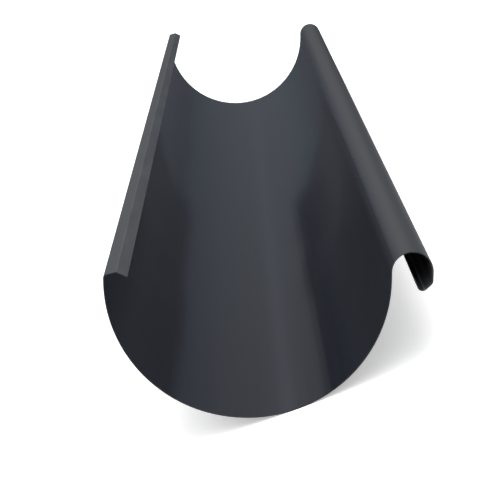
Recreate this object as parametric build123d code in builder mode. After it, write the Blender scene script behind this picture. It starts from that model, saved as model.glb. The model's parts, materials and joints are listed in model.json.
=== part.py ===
from build123d import *
import os
from math import atan2, degrees

# Half-round rain gutter, one strip of prepainted steel rolled to shape
# Lengths in millimetres, the section seen from the near end with the front bead on the right
gutter_length = 1000.0
trough_width = 150.0
sheet_thickness = 0.6

# Front bead: a domed roll, a front face, a slanted chin and a lip that returns into the bead
bead_width = 22.4
bead_rise = 16.9
front_height = 17.3
chin_run = 6.3
chin_drop = 5.9
return_run = 3.6
return_rise = 8.5
front_radius = 3.0
chin_radius = 2.7

# Rear lip: bent in over the trough, with its tip bent down again
lip_rise = 4.3
lip_run = 6.5
lip_climb = 1.8
tip_run = 5.9
tip_drop = 2.8
lip_radius = 2.0
kink_radius = 1.0

# Middle of the sheet, which the bends follow
half_sheet = sheet_thickness / 2
trough_radius = trough_width / 2 + half_sheet
dome_radius = bead_width / 2 - half_sheet
dome_base = bead_rise - bead_width / 2
bead_centre = trough_radius + dome_radius
bead_front = bead_centre + dome_radius
chin_top = bead_rise - front_height
chin_bottom = chin_top - chin_drop
chin_back = bead_front - chin_run
lip_corner = lip_rise - half_sheet
lip_kink = lip_corner + lip_climb
lip_inset = lip_run - trough_radius

# Section in the gutter's own axes, with the centre of the half round at the origin
with BuildSketch() as profile:
    with BuildLine():
        CenterArc((0, 0), trough_radius, 180, 180)
        Line((trough_radius, 0), (trough_radius, dome_base))
        CenterArc((bead_centre, dome_base), dome_radius, 180, -180)
        FilletPolyline(
            (bead_front, dome_base),
            (bead_front, chin_top),
            (chin_back, chin_bottom),
            (chin_back - return_run, chin_bottom + return_rise),
            radius=[front_radius, chin_radius],
        )
        FilletPolyline(
            (-trough_radius, 0),
            (-trough_radius, lip_corner),
            (lip_inset, lip_kink),
            (lip_inset + tip_run, lip_kink - tip_drop),
            radius=[lip_radius, kink_radius],
        )
    trace(line_width=sheet_thickness)

# Lying free, the gutter rolls on its round back until its centre of mass is lowest
mass_centre = profile.face().center(CenterOf.MASS)
rest_roll = degrees(atan2(mass_centre.X, -mass_centre.Y))
lying = profile.sketch.rotate(Axis.Z, -rest_roll)
lying_box = lying.bounding_box()

# The gutter, its length along Y, lying on the floor with its box centred on the origin
with BuildPart() as gutter:
    with BuildSketch(Plane.XZ.offset(gutter_length / 2)):
        with Locations((-lying_box.center().X, -lying_box.min.Y)):
            add(lying)
    extrude(amount=-gutter_length)

gutter.part.label = "gutter"
os.makedirs("parts", exist_ok=True)
export_step(gutter.part, "parts/gutter.step")
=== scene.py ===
"""A half-round rain gutter of prepainted anthracite steel, lying free on a pale studio floor."""

import json
from collections import namedtuple
from math import atan2, cos, exp, hypot, pi, radians, sin, tan

import bpy
from mathutils import Matrix, Vector


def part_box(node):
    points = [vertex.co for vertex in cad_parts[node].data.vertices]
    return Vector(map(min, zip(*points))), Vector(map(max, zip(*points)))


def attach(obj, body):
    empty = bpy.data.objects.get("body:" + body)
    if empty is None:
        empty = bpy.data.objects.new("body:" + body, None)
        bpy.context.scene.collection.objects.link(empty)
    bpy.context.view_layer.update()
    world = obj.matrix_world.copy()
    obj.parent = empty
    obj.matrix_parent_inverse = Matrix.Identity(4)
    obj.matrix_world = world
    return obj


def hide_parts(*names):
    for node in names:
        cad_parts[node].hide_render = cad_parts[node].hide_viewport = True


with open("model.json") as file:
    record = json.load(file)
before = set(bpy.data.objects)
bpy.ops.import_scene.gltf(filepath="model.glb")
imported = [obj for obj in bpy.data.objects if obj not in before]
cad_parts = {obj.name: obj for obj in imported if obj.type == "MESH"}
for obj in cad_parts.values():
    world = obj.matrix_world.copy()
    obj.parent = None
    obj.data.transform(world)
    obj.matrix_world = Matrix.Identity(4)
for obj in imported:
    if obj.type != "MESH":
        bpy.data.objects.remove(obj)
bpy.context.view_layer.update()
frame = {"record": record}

# Sizes of the section in metres, as the solid has them
MM = 0.001
TROUGH_WIDTH = 150 * MM
SHEET = 0.6 * MM
BEAD_WIDTH = 22.4 * MM
BEAD_RISE = 16.9 * MM
FRONT_HEIGHT = 17.3 * MM
CHIN_RUN = 6.3 * MM
CHIN_DROP = 5.9 * MM
RETURN_RUN = 3.6 * MM
RETURN_RISE = 8.5 * MM
FRONT_RADIUS = 3.0 * MM
CHIN_RADIUS = 2.7 * MM
LIP_RISE = 4.3 * MM
LIP_RUN = 6.5 * MM
LIP_CLIMB = 1.8 * MM
TIP_RUN = 5.9 * MM
TIP_DROP = 2.8 * MM
LIP_RADIUS = 2.0 * MM
KINK_RADIUS = 1.0 * MM

# The middle of the sheet, which the bends follow
HALF_SHEET = SHEET / 2
TROUGH_RADIUS = TROUGH_WIDTH / 2 + HALF_SHEET
DOME_RADIUS = BEAD_WIDTH / 2 - HALF_SHEET
DOME_BASE = BEAD_RISE - BEAD_WIDTH / 2
BEAD_FRONT = TROUGH_RADIUS + 2 * DOME_RADIUS
CHIN_TOP = BEAD_RISE - FRONT_HEIGHT
CHIN_BOTTOM = CHIN_TOP - CHIN_DROP
CHIN_BACK = BEAD_FRONT - CHIN_RUN
LIP_CORNER = LIP_RISE - HALF_SHEET
LIP_KINK = (LIP_RUN - TROUGH_RADIUS, LIP_CORNER + LIP_CLIMB)

# How finely the sheet is drawn, how far its cut ends are broken, and the turn that counts as an edge
TROUGH_STEP = radians(1.2)
BEND_STEP = radians(6)
SECTION_SPACING = 10 * MM
EDGE_BREAK = 0.08 * MM
SHARP_TURN = radians(30)

# Inward waves of the thin sheet: their depth, how far up from the floor they are full, and for each its
# strength, its waves round the trough, its waves along the gutter and where it starts
WAVE_DEPTH = 0.25 * MM
WAVE_RISE = radians(30)
WAVES = [(1.0, 2, 7, 1), (0.6, 5, -11, 2), (0.4, 3, 23, 0)]

# The coating's colours: outside, in the trough, where painted shade makes it darker, on the sheet's back
# face, on its cut edge, and the light grey of the painted light and painted highlights on the back face
PAINT = (0.0175, 0.019, 0.0235)
SHADED_PAINT_INSIDE = (0.0082, 0.0092, 0.0138)
BACKING = (0.0255, 0.0265, 0.031)
CUT_EDGE = (0.012, 0.012, 0.013)
PAINTED_LIGHT_GREY = (0.25, 0.25, 0.25)
COAT_IOR = 1.5

# The coating's roughness outside and in the trough, and how other places differ from it
GLOSS = 0.47
GLOSS_INSIDE = 0.17
BACK_GLOSS = -0.08
STRIPE_GLOSS = 0.06
CUT_GLOSS = 0.25
ROLLED_GLOSS = 0.015

# The inside's look, its painted shade and its gloss, fades from this angle up the front wall to this share
# at its rim, and between these turns round the bead to nothing. The colour, without the painted shade, is
# the outside's from the rim on. The roughness changes little below the rim, where a quick change would show
# as a line.
FADE_START = radians(60)
FADE_AT_RIM = 0.74
FADE_TURN = radians(26)
FADE_END = radians(64)

# A lighter stripe along the trough's floor, a painted highlight, and how much lighter it is
STRIPE_ANGLE = radians(17)
STRIPE_WIDTH = radians(4.5)
STRIPE_HIGHLIGHT = 0.6

# Where the back face is painted lighter: painted light on the rear lip's tip, a painted highlight on its
# kink, and a painted highlight along a crease in the bead's lower bend
TIP_PAINTED_LIGHT = 0.035
KINK_PAINTED_HIGHLIGHT = 0.08
CREASE_TURN = radians(152)
CREASE_WIDTH = radians(7)

# Painted light in the bead's shaded hollow, all there from this far round its dome, and thinning out down
# to the chin
HOLLOW_PAINTED_LIGHT = 0.25
HOLLOW_LIGHT_TURN = radians(60)

# Noise over the developed sheet: its scale across and along, per metre, and its detail
CLOUDS = ((9, 4), 3)
ROLLING = ((260, 1.2), 3)
DENTS = ((16, 5.5), 1)
PATCHES = ((90, 22), 3)
PEEL = ((1100, 1100), 2)

# What the noise does: the tints of its clouds, the tone of its rolling, how much of the painted light its
# patches keep, and the depth of its bumps
CLOUD_TINTS = ((0.99, 0.93, 1.0), (0.94, 1.02, 1.0))
ROLLED_TONE = (0.9, 1.1)
PATCH_SHARE = (0.2, 1.8)
DENT_DEPTH = 1.2 * MM
ROLLED_DEPTH = 0.03 * MM
PEEL_DEPTH = 0.0015 * MM

# The noise's values that are taken as its lowest and highest, for streaks and for clouds
STREAK_RANGE = (0.3, 0.7)
CLOUD_RANGE = (0.35, 0.65)

# The photograph's camera, in the gutter's own axes from the centre of the near end's half round
CAMERA_PLACE = Vector((-11.9, -770.7, 226.0)) * MM
CAMERA_PITCH = radians(15.12)
CAMERA_YAW = radians(-0.97)
CAMERA_ROLL = radians(0.21)
FOCAL_PIXELS = 1535
IMAGE_PIXELS = 500
SENSOR_WIDTH = 36

# The sky's brightness against the sine of the height above the horizon
SKY = [
    (0.0, 0.059),
    (0.06, 0.069),
    (0.14, 0.085),
    (0.24, 0.099),
    (0.34, 0.116),
    (0.44, 0.135),
    (0.62, 0.6),
    (1.0, 0.75),
]
SKY_STRENGTH = 2.0

# How red, green and blue change at the horizon, and the sine of the height where that change ends
SKY_TINT = (-0.14, 0.0, 0.22)
TINT_HEIGHT = 0.5

# What the sky gains towards the camera's side, and the parts of its direction along Y between which it does
SKY_FRONT = 0.4
FRONT_START = 0.1
FRONT_FULL = -0.8

# What the camera sees instead of the sky
BACKDROP = (0.5, 0.5, 0.5)

# The soft light over the near end, which shines straight down
LAMP_PLACE = (0.1, -0.4, 0.8)
LAMP_WIDTH = 0.7
LAMP_POWER = 3.5

# The floor, its own light and its colour where the gutter mirrors it
FLOOR_REACH = 30
FLOOR_TONE = (0.9, 0.9, 0.9)
FLOOR_ROUGHNESS = 0.9
FLOOR_GLOW = (0.4, 0.4, 0.4)
FLOOR_MIRRORED = (0.074, 0.082, 0.096)

# A lit patch of the mirrored floor for the bead's front shoulder, placed from the box's +X side, where it
# grows outwards, and from the far end, where it fades
PATCH_GLOW = 0.58
PATCH_START = -0.02
PATCH_FULL = 0.06
PATCH_FADE = -0.1
PATCH_END = 0.4

low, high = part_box("gutter")


def mount(name):
    """The record's mount of that name."""
    return next(m for m in frame["record"]["mounts"] if m["name"] == name)


# The gutter lies rolled towards its bead, and its bracket seat faces down when it hangs in use
seat = mount("bracket_seat")
own_up = -Vector(seat["axis"])
REST_ROLL = atan2(own_up.x, own_up.z)
OUTER_RADIUS = TROUGH_WIDTH / 2 + SHEET
trough_axis = Vector(seat["pos_m"]) + own_up * OUTER_RADIUS
ROLL = Matrix.Rotation(REST_ROLL, 3, "Y")

# A point of the sheet's middle with its direction of travel. Its trough side has a share of the inside's
# look, with its painted shade, and of the stripe's painted highlight, and its back face has a share of the
# painted light.
Row = namedtuple("Row", "x z heading inside mark worn", defaults=(0, 0, 0))


def placed(x, y, z):
    """A point given in the gutter's own axes, in the frame's axes."""
    return trough_axis + ROLL @ Vector((x, y, z))


def share(value, start, end):
    """How far a value is on its way from start to end, between 0 and 1."""
    return min(1, max(0, (value - start) / (end - start)))


def swell(value, middle, width):
    """A smooth swell that is 1 at its middle and small beyond its width."""
    return exp(-((value - middle) / width) ** 2)


def arc(centre, radius, start, sweep, step):
    """Points along an arc, each with the direction of travel there."""
    count = max(2, round(abs(sweep) / step))
    turned = pi / 2 if sweep > 0 else -pi / 2
    found = []
    for i in range(count + 1):
        angle = start + sweep * i / count
        point = (centre[0] + radius * cos(angle), centre[1] + radius * sin(angle))
        found.append((*point, angle + turned))
    return found


def bent(corners, radii):
    """A line through corners, each inner one rounded to its radius, with directions of travel."""
    found = []
    for before, corner, after, radius in zip(corners, corners[1:], corners[2:], radii):
        heading = atan2(corner[1] - before[1], corner[0] - before[0])
        leaving = atan2(after[1] - corner[1], after[0] - corner[0])
        turn = (leaving - heading + pi) % (2 * pi) - pi
        side = pi / 2 if turn > 0 else -pi / 2
        cut = radius * tan(abs(turn) / 2)
        start = (corner[0] - cut * cos(heading), corner[1] - cut * sin(heading))
        centre = (start[0] + radius * cos(heading + side), start[1] + radius * sin(heading + side))
        found += arc(centre, radius, heading - side, turn, BEND_STEP)
    first = atan2(corners[1][1] - corners[0][1], corners[1][0] - corners[0][0])
    last = atan2(corners[-1][1] - corners[-2][1], corners[-1][0] - corners[-2][0])
    return [(*corners[0], first), *found, (*corners[-1], last)]


def rear_lip():
    """The lip from its free tip down to the trough's rim, with painted light on its tip and a painted
    highlight on its kink.
    """
    tip = (LIP_KINK[0] + TIP_RUN, LIP_KINK[1] - TIP_DROP)
    corners = [tip, LIP_KINK, (-TROUGH_RADIUS, LIP_CORNER), (-TROUGH_RADIUS, 0)]
    line = bent(corners, [KINK_RADIUS, LIP_RADIUS])
    tip_heading = line[0][2]
    kink_turn = max(heading for x, z, heading in line) - tip_heading
    rows = []
    for x, z, heading in line[:-1]:
        kinked = (heading - tip_heading) / kink_turn
        # Painted light on the lip's tip, and a painted highlight that swells to most at its kink
        worn = TIP_PAINTED_LIGHT * (1 - kinked) + KINK_PAINTED_HIGHLIGHT * sin(pi * kinked) if kinked >= 0 else 0
        rows.append(Row(x, z, heading, worn=worn))
    return rows


def trough():
    """The half round, from the rear rim to the front one."""
    rows = []
    for x, z, heading in arc((0, 0), TROUGH_RADIUS, pi, pi, TROUGH_STEP):
        angle = atan2(x, -z)
        inside = 1 - share(angle, FADE_START, pi / 2) * (1 - FADE_AT_RIM)
        rows.append(Row(x, z, heading, inside, swell(angle, STRIPE_ANGLE, STRIPE_WIDTH)))
    return rows


def bead():
    """The bead's dome, from the trough's front rim to the top of its front face."""
    centre = (TROUGH_RADIUS + DOME_RADIUS, DOME_BASE)
    rows = []
    for i, point in enumerate(arc(centre, DOME_RADIUS, pi, -pi, BEND_STEP)):
        turn = i * BEND_STEP
        inside = FADE_AT_RIM * (1 - share(turn, FADE_TURN, FADE_END))
        # Painted light in the shaded hollow under the dome, growing round the dome
        rows.append(Row(*point, inside, worn=HOLLOW_PAINTED_LIGHT * share(turn, 0, HOLLOW_LIGHT_TURN)))
    return rows


def hook():
    """The bead's front face, its chin and the return lip up to its free edge, with painted light in the
    hollow and a painted highlight along the crease.
    """
    free_edge = (CHIN_BACK - RETURN_RUN, CHIN_BOTTOM + RETURN_RISE)
    corners = [(BEAD_FRONT, DOME_BASE), (BEAD_FRONT, CHIN_TOP), (CHIN_BACK, CHIN_BOTTOM), free_edge]
    rows = []
    for x, z, heading in bent(corners, [FRONT_RADIUS, CHIN_RADIUS])[1:]:
        # Painted light in the hollow, thinning out down to the chin, and a painted highlight along the
        # crease
        hollow_light = HOLLOW_PAINTED_LIGHT * share(z, CHIN_BOTTOM, DOME_BASE)
        rows.append(Row(x, z, heading, worn=hollow_light + (1 - hollow_light) * swell(heading, -CREASE_TURN, CREASE_WIDTH)))
    return rows


def wave(row, y):
    """How far the trough's thin sheet waves inwards, none at its rims and where it rests on the floor."""
    if row.z > 0 or abs(hypot(row.x, row.z) - TROUGH_WIDTH / 2) >= SHEET:
        return 0
    angle = atan2(row.x, -row.z)
    held = share(abs(angle - REST_ROLL), 0, WAVE_RISE) * max(0, cos(angle))
    ripples, strongest = 0, 0
    for strength, around, along, start in WAVES:
        ripples += strength * sin(around * angle + along * y + start)
        strongest += strength
    return WAVE_DEPTH * held * (0.5 + ripples / (2 * strongest))


def lengthwise():
    """Places along the gutter for the section, and half the sheet's thickness at each."""
    half_length = (high.y - low.y) / 2
    reach = half_length - EDGE_BREAK
    spaces = round(2 * reach / SECTION_SPACING)
    between = [(-reach + 2 * reach * i / spaces, HALF_SHEET) for i in range(spaces + 1)]
    broken = HALF_SHEET - EDGE_BREAK
    return [(-half_length, broken), *between, (half_length, broken)]


def sheet_faces(rows, stations):
    """The closed mesh's faces, and whether each is on a cut edge of the sheet."""
    around = 2 * rows
    faces, cut = [], []
    for station in range(stations - 1):
        for i in range(around):
            a, b = station * around + i, station * around + (i + 1) % around
            faces.append((a, b, b + around, a + around))
            cut.append(i in (rows - 1, around - 1))
    last = (stations - 1) * around
    for i in range(rows - 1):
        faces.append((i + 1, i, around - 1 - i, around - 2 - i))
        faces.append((last + i, last + i + 1, last + around - 2 - i, last + around - 1 - i))
        cut += [True, True]
    return faces, [float(edge) for edge in cut]


def gutter_mesh():
    """The sheet as one closed mesh with both its faces, and with what the coating needs to know of it."""
    middle = rear_lip() + trough() + bead() + hook()
    across = [0]
    for a, b in zip(middle, middle[1:]):
        across.append(across[-1] + hypot(b.x - a.x, b.z - a.z))
    section = list(zip(middle, across))
    stations = lengthwise()
    verts, places = [], []
    known = {"inside": [], "mark": [], "worn": [], "back": []}
    for y, half in stations:
        for side in (1, -1):
            for row, place in section[::side]:
                offset = side * half + wave(row, y)
                x = row.x - offset * sin(row.heading)
                z = row.z + offset * cos(row.heading)
                verts.append(placed(x, y, z))
                places.append((place if side > 0 else 2 * across[-1] - place, y))
                facts = (row.inside, row.mark, 0.0, 0.0) if side > 0 else (0.0, 0.0, row.worn, 1.0)
                for values, fact in zip(known.values(), facts):
                    values.append(fact)
    faces, cut = sheet_faces(len(middle), len(stations))
    mesh = bpy.data.meshes.new("gutter_sheet")
    mesh.from_pydata(verts, [], faces)
    for name, values in known.items():
        mesh.attributes.new(name, "FLOAT", "POINT").data.foreach_set("value", values)
    mesh.attributes.new("cut", "FLOAT", "FACE").data.foreach_set("value", cut)
    sheet = mesh.uv_layers.new(name="sheet")
    for loop in mesh.loops:
        sheet.data[loop.index].uv = places[loop.vertex_index]
    mesh.shade_smooth()
    mesh.set_sharp_from_angle(angle=SHARP_TURN)
    return mesh


def add_node(tree, kind, inputs=None, **properties):
    """A new node whose inputs are each a constant, a colour or another node's output."""
    node = tree.nodes.new(kind)
    for name, value in properties.items():
        setattr(node, name, value)
    for name, value in (inputs or {}).items():
        socket = node.inputs[name]
        if isinstance(value, bpy.types.NodeSocket):
            tree.links.new(value, socket)
        elif socket.type == "RGBA":
            socket.default_value = (*value, 1)
        else:
            socket.default_value = value
    return node


def ranged(tree, value, target, source=(0, 1), **properties):
    """A value carried from its source range to a target range, and held there."""
    ends = {"From Min": source[0], "From Max": source[1], "To Min": target[0], "To Max": target[1]}
    node = add_node(tree, "ShaderNodeMapRange", {"Value": value, **ends}, **properties)
    return node.outputs["Result"]


def blend(tree, factor, first, second):
    """The first colour where the factor is 0, the second where it is 1."""
    inputs = {"Factor": factor, "A": first, "B": second}
    return add_node(tree, "ShaderNodeMix", inputs, data_type="RGBA").outputs["Result"]


def computed(tree, operation, first, second):
    """Two numbers added or multiplied."""
    return add_node(tree, "ShaderNodeMath", {0: first, 1: second}, operation=operation).outputs[0]


def new_material(name):
    """A new material with its node tree and its shader."""
    material = bpy.data.materials.new(name)
    material.use_nodes = True
    return material, material.node_tree, material.node_tree.nodes["Principled BSDF"]


def painted_steel():
    """Satin anthracite coil coating, glossier in the trough and darker there by painted shade, with painted
    light and painted highlights, dull where the sheet is cut.
    """
    material, tree, shader = new_material("painted_steel")
    shader.inputs["IOR"].default_value = COAT_IOR

    def attribute(name):
        """A value that the mesh holds."""
        return add_node(tree, "ShaderNodeAttribute", attribute_name=name).outputs["Fac"]

    def noise(scale, detail):
        """Noise over the developed sheet, with its own scale across the section and along the gutter."""
        place = add_node(tree, "ShaderNodeUVMap", uv_map="sheet").outputs["UV"]
        stretched = add_node(tree, "ShaderNodeMapping", {"Vector": place, "Scale": (*scale, 1)})
        inputs = {"Vector": stretched.outputs["Vector"], "Scale": 1, "Detail": detail}
        return add_node(tree, "ShaderNodeTexNoise", inputs).outputs["Fac"]

    def bumped(height, depth, **others):
        """The surface's direction with this height on it."""
        node = add_node(tree, "ShaderNodeBump", {"Height": height, "Distance": depth, **others})
        return node.outputs["Normal"]

    inside = attribute("inside")
    mark = attribute("mark")
    back = attribute("back")
    cut = attribute("cut")
    rolled = noise(*ROLLING)

    # Painted shade: the trough darker than the outside
    face = blend(tree, ranged(tree, inside, (0, 1), (FADE_AT_RIM, 1)), PAINT, SHADED_PAINT_INSIDE)
    paint = blend(tree, back, face, BACKING)
    tint = blend(tree, ranged(tree, noise(*CLOUDS), (0, 1), CLOUD_RANGE), *CLOUD_TINTS)
    tinted = add_node(tree, "ShaderNodeVectorMath", {0: paint, 1: tint}, operation="MULTIPLY").outputs[0]
    streaks = ranged(tree, rolled, ROLLED_TONE, STREAK_RANGE)
    # Painted highlight: the stripe along the trough's floor made lighter
    tone = computed(tree, "ADD", streaks, ranged(tree, mark, (0, STRIPE_HIGHLIGHT)))
    toned = add_node(tree, "ShaderNodeVectorMath", {0: tinted, "Scale": tone}, operation="SCALE").outputs[0]
    patches = ranged(tree, noise(*PATCHES), PATCH_SHARE, CLOUD_RANGE)
    # Painted light and painted highlights: the back face lighter where the mesh says
    with_painted_light = blend(tree, computed(tree, "MULTIPLY", attribute("worn"), patches), toned, PAINTED_LIGHT_GREY)
    tree.links.new(blend(tree, cut, with_painted_light, CUT_EDGE), shader.inputs["Base Color"])

    gloss = ranged(tree, inside, (GLOSS, GLOSS_INSIDE))
    gloss = computed(tree, "ADD", gloss, ranged(tree, rolled, (-ROLLED_GLOSS, ROLLED_GLOSS), STREAK_RANGE))
    for place, change in ((mark, STRIPE_GLOSS), (back, BACK_GLOSS), (cut, CUT_GLOSS)):
        gloss = computed(tree, "ADD", gloss, ranged(tree, place, (0, change)))
    tree.links.new(gloss, shader.inputs["Roughness"])

    dented = bumped(noise(*DENTS), DENT_DEPTH, Strength=inside)
    rippled = bumped(rolled, ROLLED_DEPTH, Normal=dented)
    grained = bumped(noise(*PEEL), PEEL_DEPTH, Normal=rippled)
    tree.links.new(grained, shader.inputs["Normal"])
    return material


def add_gutter():
    """The gutter, one strip of coated sheet in place of its solid."""
    piece = bpy.data.objects.new("gutter_sheet", gutter_mesh())
    bpy.context.scene.collection.objects.link(piece)
    piece.data.materials.append(painted_steel())
    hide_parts("gutter")
    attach(piece, "root")


def add_camera():
    """The photograph's camera, rolled with the gutter."""
    data = bpy.data.cameras.new("camera")
    data.sensor_width = SENSOR_WIDTH
    data.lens = FOCAL_PIXELS / IMAGE_PIXELS * SENSOR_WIDTH
    camera = bpy.data.objects.new("camera", data)
    aim = Matrix.Rotation(CAMERA_YAW, 3, "Z") @ Matrix.Rotation(-CAMERA_PITCH, 3, "X")
    aim = aim @ Matrix.Rotation(-CAMERA_ROLL, 3, "Y")
    level = Matrix.Rotation(pi / 2, 3, "X")
    turned = ROLL @ aim @ level
    near_centre = Vector((trough_axis.x, low.y, trough_axis.z))
    camera.matrix_world = Matrix.Translation(near_centre + ROLL @ CAMERA_PLACE) @ turned.to_4x4()
    bpy.context.scene.collection.objects.link(camera)
    bpy.context.scene.camera = camera


def floor_paint():
    """White where it is seen, and dark with one lit patch where the gutter mirrors it."""
    material, tree, shader = new_material("floor")
    shader.inputs["Roughness"].default_value = FLOOR_ROUGHNESS
    shader.inputs["Specular IOR Level"].default_value = 0
    shader.inputs["Emission Strength"].default_value = 1
    mirrored = add_node(tree, "ShaderNodeLightPath").outputs["Is Glossy Ray"]
    place = add_node(tree, "ShaderNodeTexCoord").outputs["Object"]
    split = add_node(tree, "ShaderNodeSeparateXYZ", {0: place}).outputs
    beside = ranged(tree, split["X"], (0, 1), (high.x + PATCH_START, high.x + PATCH_FULL))
    along = ranged(tree, split["Y"], (0, PATCH_GLOW), (high.y + PATCH_END, high.y + PATCH_FADE))
    patch = computed(tree, "MULTIPLY", beside, along)
    tree.links.new(blend(tree, mirrored, FLOOR_TONE, FLOOR_MIRRORED), shader.inputs["Base Color"])
    tree.links.new(blend(tree, mirrored, FLOOR_GLOW, patch), shader.inputs["Emission Color"])
    return material


def add_floor():
    """A plain floor out to where it can't be told from the backdrop."""
    mesh = bpy.data.meshes.new("floor")
    corners = [(x * FLOOR_REACH, y * FLOOR_REACH, 0) for x, y in ((-1, -1), (1, -1), (1, 1), (-1, 1))]
    mesh.from_pydata(corners, [], [(0, 1, 2, 3)])
    mesh.materials.append(floor_paint())
    floor = bpy.data.objects.new("floor", mesh)
    bpy.context.scene.collection.objects.link(floor)


def add_lamp():
    """A soft light over the near end."""
    lamp = bpy.data.lights.new("soft_light", "AREA")
    lamp.shape = "DISK"
    lamp.size = LAMP_WIDTH
    lamp.energy = LAMP_POWER
    soft_light = bpy.data.objects.new("soft_light", lamp)
    soft_light.location = LAMP_PLACE
    bpy.context.scene.collection.objects.link(soft_light)


def add_sky():
    """A soft studio sky, brightest overhead and dim towards the horizon, with a white backdrop."""
    world = bpy.data.worlds.new("studio")
    bpy.context.scene.world = world
    world.use_nodes = True
    tree = world.node_tree
    direction = add_node(tree, "ShaderNodeTexCoord").outputs["Generated"]
    split = add_node(tree, "ShaderNodeSeparateXYZ", {0: direction}).outputs
    ramp = add_node(tree, "ShaderNodeValToRGB", {"Fac": split["Z"]})
    stops = ramp.color_ramp.elements
    for height, level in SKY[1:-1]:
        stops.new(height)
    for stop, (height, level) in zip(stops, SKY):
        tint = max(0, 1 - height / TINT_HEIGHT)
        stop.color = (*(level * (1 + change * tint) for change in SKY_TINT), 1)
    side = (FRONT_START, FRONT_FULL)
    front = ranged(tree, split["Y"], (0, SKY_FRONT), side, interpolation_type="SMOOTHSTEP")
    total = add_node(tree, "ShaderNodeVectorMath", {0: ramp.outputs["Color"], 1: front}, operation="ADD")
    seen = add_node(tree, "ShaderNodeLightPath").outputs["Is Camera Ray"]
    background = tree.nodes["Background"]
    background.inputs["Strength"].default_value = SKY_STRENGTH
    tree.links.new(blend(tree, seen, total.outputs[0], BACKDROP), background.inputs["Color"])


add_camera()
add_gutter()
add_floor()
add_lamp()
add_sky()
bpy.context.scene.view_settings.view_transform = "Standard"
